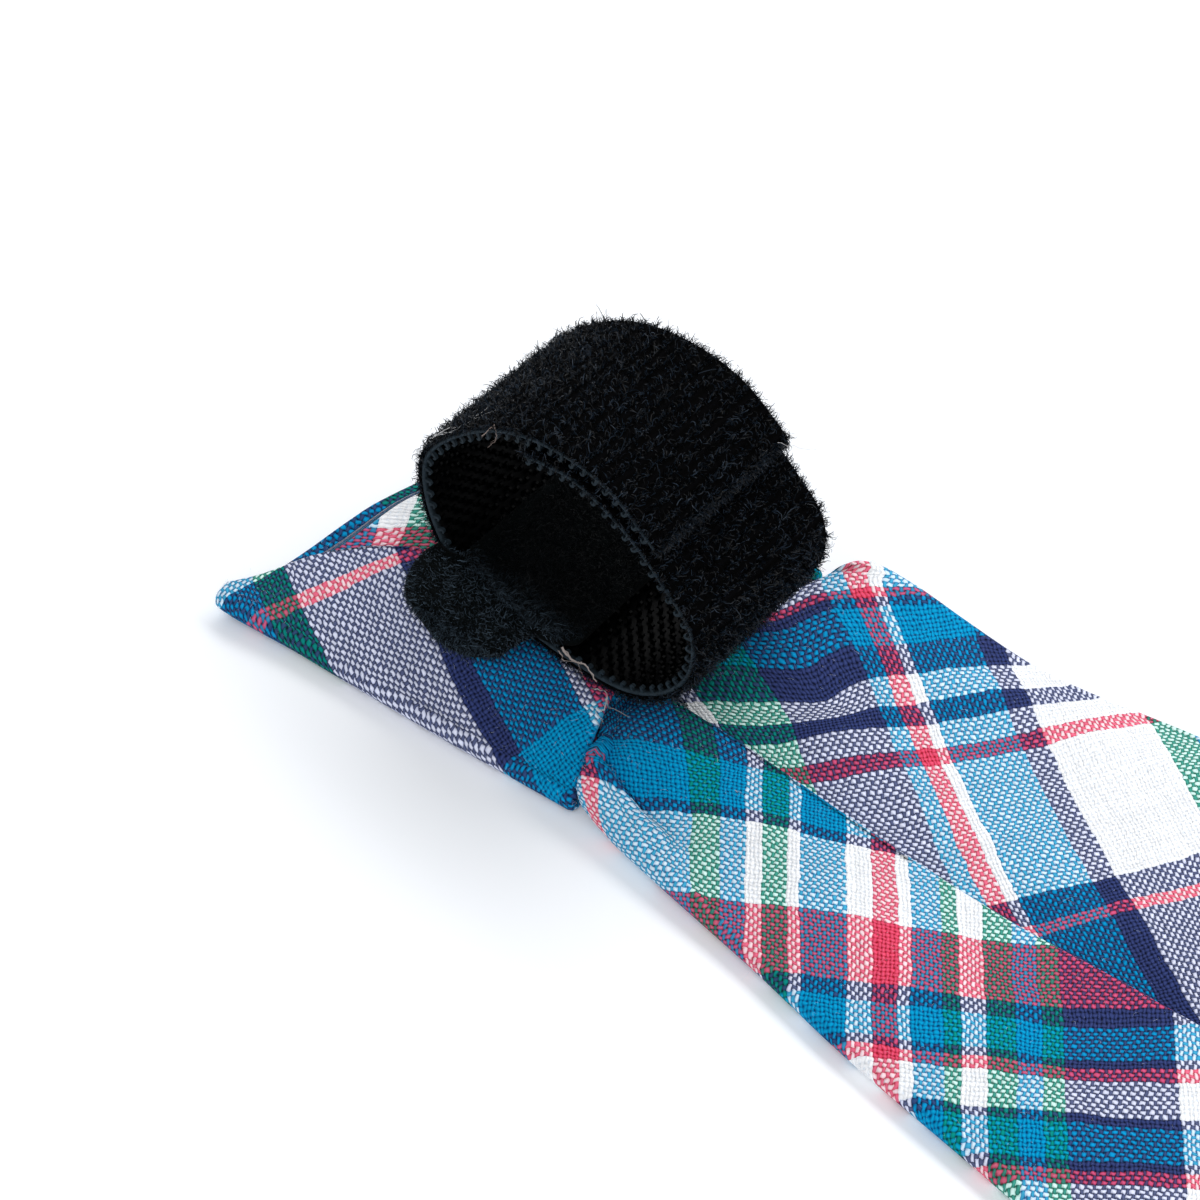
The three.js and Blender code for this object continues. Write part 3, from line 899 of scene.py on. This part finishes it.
# Warp-knitted black nylon backing: matt and nearly black between the pile's tufts
knit, tree = new_material("warp_knitted_black_nylon")
run = add_node(tree, "UVMap", uv_map="threads")
ribs = add_node(tree, "TexWave", {"Vector": run.outputs["UV"], "Scale": 0.4, "Distortion": 1.5})
ribs.bands_direction = "X"
knit_tone = two_tones(tree, ribs.outputs["Fac"], "#010101", "#030304")
knit_rise = add_node(tree, "Bump", {"Strength": 0.6, "Distance": 0.0001, "Height": ribs.outputs["Fac"]})
skin(tree, {
    "Base Color": knit_tone.outputs["Color"], "Roughness": 0.8, "Specular IOR Level": 0.02,
    "Normal": knit_rise.outputs["Normal"],
})
backing.data.materials.append(knit)
for part in (film, backing):
    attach(part, "root")
    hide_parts("strap")


# ---------------------------------------------------------------------------------------
# The strap's hooks: rows of small moulded nylon hooks that stand on the film's inside, each
# a flat stem that curls over along the strap, rows turned by turns.
# ---------------------------------------------------------------------------------------
HOOK_PITCH = 1.27
HOOK_ROW_GAP = 0.72
HOOK_WIDE = 0.30
HOOK_THICK = 0.24
HOOK_ROOT = -0.17             # where a hook grows out of the film's inner face
HOOK_MARGIN = 0.30            # the first row's distance from the tape's edge, in row gaps
HOOK_STEPS = (                # its rise in steps: (over, up, degrees turned, how it narrows)
    (0, 0.30, 0, 0.72), (0.03, 0.15, 28, 0.95), (0.12, 0.08, 52, 0.9),
    (0.14, -0.04, 50, 0.8), (0.06, -0.12, 20, 0.7),
)

bpy.ops.object.select_all(action="DESELECT")
bpy.ops.mesh.primitive_plane_add(size=1, location=(0, 0, 0))
pattern = bpy.context.object
pattern.scale = (HOOK_THICK * 1.5, HOOK_WIDE, 1)
bpy.ops.object.transform_apply(location=True, rotation=True, scale=True)
bpy.ops.object.mode_set(mode="EDIT")
bpy.ops.mesh.select_all(action="SELECT")
place = Vector((0, 0, 0))
for over, up, tilt, shrink in HOOK_STEPS:
    bpy.ops.mesh.extrude_region_move(TRANSFORM_OT_translate={"value": (over, 0, up)})
    place += Vector((over, 0, up))
    bpy.ops.transform.rotate(value=-math.radians(tilt), orient_axis="Y", center_override=place)
    bpy.ops.transform.resize(value=(shrink, 1, shrink), center_override=place)
bpy.ops.mesh.select_all(action="SELECT")
bpy.ops.mesh.normals_make_consistent(inside=False)
bpy.ops.object.mode_set(mode="OBJECT")
pattern_points = [v.co.copy() for v in pattern.data.vertices]
pattern_faces = [tuple(p.vertices) for p in pattern.data.polygons]
bpy.data.objects.remove(pattern)


chance = random.Random(20)
hook_points = []
hook_faces = []
hook_places = []
for row in range(int(STRAP_WIDTH / HOOK_ROW_GAP)):
    through = (row + HOOK_MARGIN) * HOOK_ROW_GAP / STRAP_WIDTH
    turned = 1 if row % 2 else -1
    along = 0.5 + (HOOK_PITCH / 2 if row % 2 else 0)
    while along < strap_length - 0.4:
        jitter = chance.uniform(-0.05, 0.05)
        root = strap_at(along + jitter, through, HOOK_ROOT)
        ahead = strap_at(along + 0.3, through, HOOK_ROOT) - strap_at(along - 0.3, through, HOOK_ROOT)
        ahead.normalize()
        side = (strap_at(along, through + 0.02, HOOK_ROOT) - root).normalized()
        inward = ahead.cross(side).normalized() * -1
        tall = chance.uniform(0.92, 1.06)
        first = len(hook_points)
        for p in pattern_points:
            grown = root + ahead * (p.x * turned / 1000) + side * (p.y / 1000)
            hook_points.append(grown + inward * (p.z * tall / 1000))
        for face in pattern_faces:
            corners = [first + k for k in face]
            hook_faces.append(corners if turned > 0 else corners[::-1])
            hook_places.extend([along, through * STRAP_WIDTH] * len(corners))
        along += HOOK_PITCH
hooks = new_piece("strap_hooks", hook_points, hook_faces, "threads", hook_places, nylon, smooth=False)
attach(hooks, "root")


# ---------------------------------------------------------------------------------------
# The strap's pile: brushed nylon loops that stand in ribs across the tape's outside, in
# small curled tufts, with loose ends that fray over its edges.
# ---------------------------------------------------------------------------------------
RIB_PITCH = 1.27
TUFT_PITCH = 0.33
TUFT_FIBRES = 7
PILE_LONG = 1.15
PILE_ROOT = 0.5               # where its fibres grow out of the backing's outer face
FRAY_FIBRES = 9000
SIDE_FRAY = 0.55              # the share of them along the side edges,
OUTER_FRAY = 0.86             # and with those on the outer end; the inner end has the rest


def ribbons(name, strands, material):
    """Thin flat fibres. Each strand is (points, width in millimetres, shade from 0 to 1)."""
    points = []
    faces = []
    shades = []
    for line, width, shade, lean in strands:
        first = len(points)
        last = len(line) - 1
        for k, p in enumerate(line):
            way = line[min(k + 1, last)] - line[max(k - 1, 0)]
            side = way.cross(lean)
            if side.length < 1e-9:
                side = way.orthogonal()
            thin = width * (1 - 0.65 * k / last)
            side = side.normalized() * (thin / 2000)
            points.append(p - side)
            points.append(p + side)
        for k in range(last):
            a = first + 2 * k
            faces.append((a, a + 1, a + 3, a + 2))
            shades.extend([shade, k / last] * 4)
    return new_piece(name, points, faces, "shade", shades, material)


def fibre_material(name, dark, light, roughness, gloss):
    """A fibre whose shade runs from dark to light by its strand's number: its own luck, and for the pad's
    nap a painted shade inside the ring.
    """
    material, tree = new_material(name)
    luck = add_node(tree, "UVMap", uv_map="shade")
    parts = add_node(tree, "SeparateXYZ", {"Vector": luck.outputs["UV"]})
    tone = two_tones(tree, parts.outputs["X"], dark, light)
    skin(tree, {
        "Base Color": tone.outputs["Color"], "Roughness": roughness,
        "IOR": 1.53, "Specular IOR Level": gloss,
    })
    return material


# Brushed black nylon fibre, dark with a little gloss; the few lighter blue-grey ones are painted glints
nylon_pile = fibre_material("brushed_black_nylon_fibre", "#010203", "#26323F", 0.34, 0.14)


def wobble(size):
    """A small random step in any direction."""
    return Vector((chance.gauss(0, size), chance.gauss(0, size), chance.gauss(0, size)))


def curly_fibre(start, rise, curl, reach):
    """A short fibre's points: it stands up, then curls over towards one side."""
    a = start + rise * reach * 0.42
    b = a + (rise * 0.55 + curl * 0.6) * reach * 0.33
    c = b + (curl * 0.95 - rise * 0.3) * reach * 0.32
    return [start, a, b, c]


def strap_frame(along, through):
    """A place on the strap's outside, with its directions along, across and outwards."""
    ahead = strap_at(along + 0.3, through, PILE_ROOT) - strap_at(along - 0.3, through, PILE_ROOT)
    side = strap_at(along, through + 0.02, PILE_ROOT) - strap_at(along, through - 0.02, PILE_ROOT)
    ahead.normalize()
    side.normalize()
    return strap_at(along, through, PILE_ROOT), ahead, side, ahead.cross(side).normalized()


chance = random.Random(7)
strands = []
along = 0.1
while along < strap_length:
    through = chance.uniform(0.0, 0.5) * TUFT_PITCH / STRAP_WIDTH
    while through <= 1.0:
        root, ahead, side, out = strap_frame(along + chance.gauss(0, 0.08), through)
        lean = ahead * chance.gauss(-0.15, 0.28) + side * chance.gauss(0.2, 0.7)
        tall = chance.uniform(0.75, 1.15)
        for _ in range(TUFT_FIBRES):
            start = root + ahead * chance.gauss(0, 0.00017) + side * chance.gauss(0, 0.00020)
            wild = 1.5 if chance.random() < 0.06 else 1
            reach = PILE_LONG / 1000 * tall * wild * chance.uniform(0.5, 1.05)
            rise = (out * chance.uniform(0.6, 1.0) + lean * 0.35 + wobble(0.4)).normalized()
            curl = (lean * 0.7 + out * chance.uniform(-0.5, 0.3) + wobble(0.75)).normalized()
            line = curly_fibre(start, rise, curl, reach)
            strands.append((line, chance.uniform(0.07, 0.12), chance.random() ** 3, wobble(1)))
        through += TUFT_PITCH * chance.uniform(0.85, 1.15) / STRAP_WIDTH
    along += RIB_PITCH
pile = ribbons("strap_pile", strands, nylon_pile)

# Loose fibres that fray over the strap's side edges and over its two cut ends
strands = []
for _ in range(FRAY_FIBRES):
    pick = chance.random()
    if pick < SIDE_FRAY:
        along = chance.uniform(0, strap_length)
        through = chance.choice([0.0, 1.0]) + chance.gauss(0, 0.004)
        root, ahead, side, out = strap_frame(along, clamp(through, 0, 1))
        away = side * (1 if through > 0.5 else -1)
        root = root - out * chance.uniform(0, 0.00022)
        slack = 0.7
    else:
        outer_end = pick < OUTER_FRAY
        along = strap_length if outer_end else 0
        root, ahead, side, out = strap_frame(along - 0.3 if outer_end else 0.3, chance.random())
        away = ahead * (1 if outer_end else -1)
        root = root + away * 0.00025 - out * chance.uniform(0, 0.0006)
        slack = 0.95 if outer_end else 0.9
    rise = (away * chance.uniform(0.3, 1.0) + out * chance.uniform(-0.5, 0.8) + wobble(0.35)).normalized()
    curl = (away * 0.4 + out * chance.uniform(-0.9, 0.4) + wobble(0.6)).normalized()
    line = curly_fibre(root, rise, curl, slack / 1000 * chance.uniform(0.5, 1.3))
    strands.append((line, chance.uniform(0.05, 0.09), chance.random() ** 3, wobble(1)))
fray = ribbons("strap_frayed_ends", strands, nylon_pile)
for part in (pile, fray):
    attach(part, "root")


# ---------------------------------------------------------------------------------------
# The pad: a scrap of soft brushed pile cloth stitched through the ring's floor to the knot.
# It lies on the ring's floor and hangs over its front edge on to the knot's slope.
# ---------------------------------------------------------------------------------------
PAD_LEFT = -15.2
PAD_FLOOR_LEFT = -10.8
PAD_RIGHT = 2.1
PAD_CORNER = -1.6
PAD_FRONT = -12.3
PAD_BELLY = 2.0
PAD_BACK = 7.0
PAD_SEAT = 0.5
PAD_DROP = 2.3
PAD_LEAD = 0.5
PAD_STEP = 1.8
PAD_THICK = 1.3
PAD_WIDE = 15                 # about how far apart its side edges lie,
PAD_LONG = 19                 # and its front and back edges
FLOOR_REACH = 12.2
floor_points = [p for p in strap_path if p[1] < FLOOR_REACH]


def floor_top(x, y):
    """The strap's inner face on the ring's floor."""
    through = clamp((y - STRAP_FRONT_Y) / STRAP_WIDTH, 0, 1)
    front_x = x - STRAP_SKEW * through
    p = min(floor_points, key=lambda q: abs(q[0] - front_x))
    return p[1] + (STRAP_SINK - (p[1] - STRAP_LOW_Z) * STRAP_TAPER) * through + 0.2


def knot_back(x, y):
    """The knot's back surface, at the near flap's top."""
    s = section_at(knot_table, clamp(x, CORNER_X, MOUTH_X))
    inward = s["near"] - PRESSED - abs(y)
    return s["lift"] + CLOTH + back_height(s, PRESSED - CLOTH / 2, inward)


def crease(x, y, start, end, width):
    """1 along a short soft crease and 0 away from it."""
    line = Vector(end) - Vector(start)
    t = clamp((Vector((x, y)) - Vector(start)).dot(line) / line.length_squared, 0, 1)
    away = (Vector((x, y)) - Vector(start) - line * t).length
    return math.exp(-(away / width) ** 2)


def pad_folds(x, y):
    """How far the pad's face sinks in its soft creases, in millimetres."""
    valley = crease(x, y, (-9.0, -8.6), (-2.4, -10.6), 0.9)
    small = crease(x, y, (-6.6, -14.0), (-6.9, -11.2), 0.7)
    ridge = crease(x, y, (-12.2, -10.6), (-4.0, -12.6), 1.1)
    return 0.9 * valley + 0.5 * small - 0.3 * ridge


def pad_point(u, t):
    """The pad's underside at a share of its width and a share of its length."""
    front = PAD_FRONT - PAD_BELLY * math.sin(math.pi * u) + 1.7 * u ** 3
    y = front + (PAD_BACK - front) * t
    inside = ease(y, STRAP_FRONT_Y - PAD_STEP, STRAP_FRONT_Y)
    left = PAD_LEFT + (PAD_FLOOR_LEFT - PAD_LEFT) * inside
    right = PAD_CORNER + (PAD_RIGHT - PAD_CORNER) * ease(y, PAD_FRONT, STRAP_FRONT_Y + 1.5)
    x = left + (right - left) * u + STRAP_SKEW * clamp((y - STRAP_FRONT_Y) / STRAP_WIDTH, 0, 1)
    over = ease(y, STRAP_FRONT_Y - PAD_DROP, STRAP_FRONT_Y - PAD_LEAD)
    on_strap = floor_top(x, y) + PAD_SEAT
    on_knot = knot_back(x, y) + PAD_SEAT
    return x, y, on_knot + (on_strap - on_knot) * over


def pad_body(u, t):
    """The pad's middle surface at its shares, and half its thickness there."""
    x, y, z = pad_point(u, t)
    edge = PAD_THICK / 2
    tuft = 0.35 * noise.noise(Vector((x / 2.2, y / 2.2, 3))) + 0.2 * noise.noise(Vector((x, y, 9)))
    free = min(u * PAD_WIDE, (1 - u) * PAD_WIDE, t * PAD_LONG, (1 - t) * PAD_LONG)
    inward = clamp(free / edge, 0, 1)
    full = edge * (1 + 0.3 * tuft) - 0.35 * pad_folds(x, y)
    middle = (x, y, z + edge + 0.1 + 0.3 * tuft - 0.3 * pad_folds(x, y))
    return middle, full * math.sqrt(1 - (1 - inward) ** 2)


PAD_COLUMNS = 46
PAD_ROWS = 60
pad_rows = []
pad_halves = []
pad_us = [0, 0.006, 0.02] + spread(0.045, 0.955, PAD_COLUMNS) + [0.98, 0.994, 1]
pad_ts = [0, 0.005, 0.016] + spread(0.034, 0.966, PAD_ROWS) + [0.984, 0.995, 1]
for t in pad_ts:
    row = []
    halves = []
    for u in pad_us:
        middle, half = pad_body(u, t)
        row.append(to_metres(*middle))
        halves.append(half)
    pad_rows.append(row)
    pad_halves.append(halves)


def pad_flow(i, j, column, inside):
    return pad_us[j] * PAD_WIDE, pad_ts[i] * PAD_LONG


pad = shell("pad_pile_cloth", pad_rows, pad_halves, pad_flow)

# Brushed pile cloth: very dark with a green-grey cast, matt, its nap lying in soft clumps
fleece, tree = new_material("brushed_black_fleece")
spot = add_node(tree, "TexCoord").outputs["Object"]
nap = add_node(tree, "TexNoise", {"Vector": spot, "Scale": 1500.0, "Detail": 5.0, "Roughness": 0.65})
nap_tone = two_tones(tree, nap.outputs["Fac"], "#010202", "#080D0E")
nap_tone.color_ramp.elements[0].position = 0.3
nap_tone.color_ramp.elements[1].position = 0.75
nap_rise = add_node(tree, "Bump", {"Strength": 0.8, "Distance": 0.0002, "Height": nap.outputs["Fac"]})
skin(tree, {
    "Base Color": nap_tone.outputs["Color"], "Roughness": 0.95, "Specular IOR Level": 0.04,
    "Sheen Weight": 0.01, "Normal": nap_rise.outputs["Normal"],
})
pad.data.materials.append(fleece)
nap_fibre = fibre_material("fleece_nap_fibre", "#030506", "#4B5B68", 0.5, 0.08)

NAP_FIBRES = 22000
RIM_WIDE = 0.6                # the pad's rim, where the nap is shorter and leans outwards
chance = random.Random(11)
strands = []
for _ in range(NAP_FIBRES):
    u = chance.uniform(0.005, 0.995)
    t = 0.97 * chance.random() ** 1.3
    (x, y, z), half = pad_body(u, t)
    side = Vector(pad_body(u + 0.01, t)[0]) - Vector((x, y, z))
    ahead = Vector(pad_body(u, t + 0.01)[0]) - Vector((x, y, z))
    out = side.cross(ahead).normalized()
    on_rim = min(u * PAD_WIDE, (1 - u) * PAD_WIDE, t * PAD_LONG) < RIM_WIDE
    place = to_metres(*(Vector((x, y, z)) + out * (half - 0.05)))
    stroke = 4 * noise.noise(Vector((x / 3.5, y / 3.5, 30))) + chance.gauss(0, 0.9)
    flat = Vector((math.cos(stroke), math.sin(stroke), 0))
    outward = Vector(((u - 0.5) * 2, (t - 0.5) * 2, 0)) * (0.5 if on_rim else 0)
    reach = chance.uniform(0.0004, 0.0010) * (0.7 if on_rim else 1)
    way = flat + outward
    way = way - out * way.dot(out)
    a = place + (way * 0.7 + out * chance.uniform(0.25, 0.8)) * reach * 0.5
    b = a + (way * 0.7 + wobble(0.35) - out * 0.15) * reach * 0.5
    # Painted shade: the nap is drawn nearly black inside the ring, where the ring's shade falls
    painted_ring_shade = 1 - 0.97 * ease(y, -11.5, -7.5)
    wide = chance.uniform(0.05, 0.085)
    strands.append(([place, a, b], wide, painted_ring_shade * chance.random() ** 1.7, wobble(1)))
nap_hair = ribbons("pad_nap", strands, nap_fibre)
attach(pad, "root")
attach(nap_hair, "root")
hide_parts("pad")


# ---------------------------------------------------------------------------------------
# The cloth's fuzz: single cotton fibres that stand off the washed plaid, most of them pale,
# thickest along its folds and cut edges.
# ---------------------------------------------------------------------------------------
# Loose cotton fibre: matt and thin enough to glow pale over the dark bands
cotton_fibre = fibre_material("loose_cotton_fibre", "#3F6E96", "#F2F5F7", 0.8, 0.1)
FUZZ_WIDE = 0.013
LOWEST_FUZZ = 0.00005         # no fibre dips below this height over the ground, in metres


def fuzz(name, cloth_piece, count, upward):
    """Fibres that stand off faces picked at random, which are smallest at folds and edges."""
    faces = [p for p in cloth_piece.data.polygons if p.normal.z > upward]
    strands = []
    for _ in range(count):
        face = chance.choice(faces)
        out = face.normal
        corner = cloth_piece.data.vertices[face.vertices[0]].co
        opposite = cloth_piece.data.vertices[face.vertices[2]].co
        start = corner.lerp(opposite, chance.random())
        along = wobble(1)
        along = (along - out * along.dot(out)).normalized()
        rise = (out * chance.uniform(0.15, 0.8) + along).normalized()
        curl = (along * 0.7 - out * chance.uniform(0, 0.5) + wobble(0.6)).normalized()
        reach = 0.0009 * chance.uniform(0.4, 1.0) ** 2 * (2 if chance.random() < 0.06 else 1)
        shade = clamp(chance.gauss(0.5, 0.25), 0, 1)
        line = curly_fibre(start, rise, curl, reach)
        for p in line:
            p.z = max(p.z, LOWEST_FUZZ)
        strands.append((line, FUZZ_WIDE, shade, wobble(1)))
    return ribbons(name, strands, cotton_fibre)


chance = random.Random(31)
blade_fuzz = fuzz("blade_cloth_fuzz", blade, 8000, -0.7)
knot_fuzz = fuzz("knot_cloth_fuzz", knot, 4000, -0.6)
for part, slot in ((blade_fuzz, "blade_cloth"), (knot_fuzz, "knot_cloth")):
    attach(part, "root")


# ---------------------------------------------------------------------------------------
# Stray threads: ends of sewing thread and pulled fibres caught on the strap and the pad,
# each a bent strand of its own.
# ---------------------------------------------------------------------------------------
# Undyed thread end: matt, between beige and grey
thread_end = fibre_material("stray_thread_end", "#8F7A70", "#E6E9EA", 0.75, 0.15)
STRAYS = (
    (0.20, 0.25, ((1.2, -10.6, 9.6), (2.9, -10.9, 9.3), (3.9, -10.7, 9.5), (5.6, -11.1, 8.9))),
    (0.12, 0.15, ((1.0, -10.9, 9.5), (2.2, -11.4, 9.3), (3.4, -11.0, 9.6), (4.4, -11.5, 8.9))),
    (0.10, 0.35, ((5.4, -11.4, 8.2), (6.6, -11.2, 8.6), (7.6, -11.9, 7.9), (9.6, -11.5, 7.7))),
    (0.09, 0.45, ((6.9, -11.3, 8.2), (7.4, -12.2, 7.6), (6.8, -12.6, 7.4), (7.9, -12.9, 7.0))),
    (0.16, 0.55, ((-16.4, -6.6, 9.0), (-16.2, -6.9, 9.3), (-16.0, -6.8, 9.2))),
    (0.07, 0.75, ((-12.7, -11.1, 25.0), (-11.6, -10.4, 26.3), (-10.9, -9.2, 26.2), (-9.6, -7.6, 27.9))),
    (0.06, 0.85, ((-12.9, -10.8, 24.9), (-10.9, -10.6, 26.5), (-9.8, -9.0, 27.4), (-8.3, -8.0, 28.7))),
    (0.06, 0.10, ((-7.0, -11.2, 28.5), (-6.4, -10.2, 29.6), (-5.6, -10.9, 29.0), (-6.0, -11.5, 28.2))),
    (0.05, 0.70, ((10.6, 5.5, 27.4), (11.8, 6.6, 26.8), (12.6, 7.9, 26.2), (12.4, 9.2, 26.5))),
    (0.05, 0.60, ((20.2, -10.6, 5.6), (20.9, -10.9, 6.3), (21.4, -10.6, 5.9))),
)
strands = []
for wide, shade, stops in STRAYS:
    corners = [to_metres(*stop) for stop in stops]
    for twin in range(2):
        line = []
        for a, b in zip(corners, corners[1:]):
            line += [a.lerp(b, t) + wobble(0.00006) for t in spread(0, 1, 5)[:-1]]
        strands.append((line + [corners[-1]], wide * (1 - 0.35 * twin), shade, wobble(1)))
strays = ribbons("stray_threads", strands, thread_end)
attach(strays, "root")
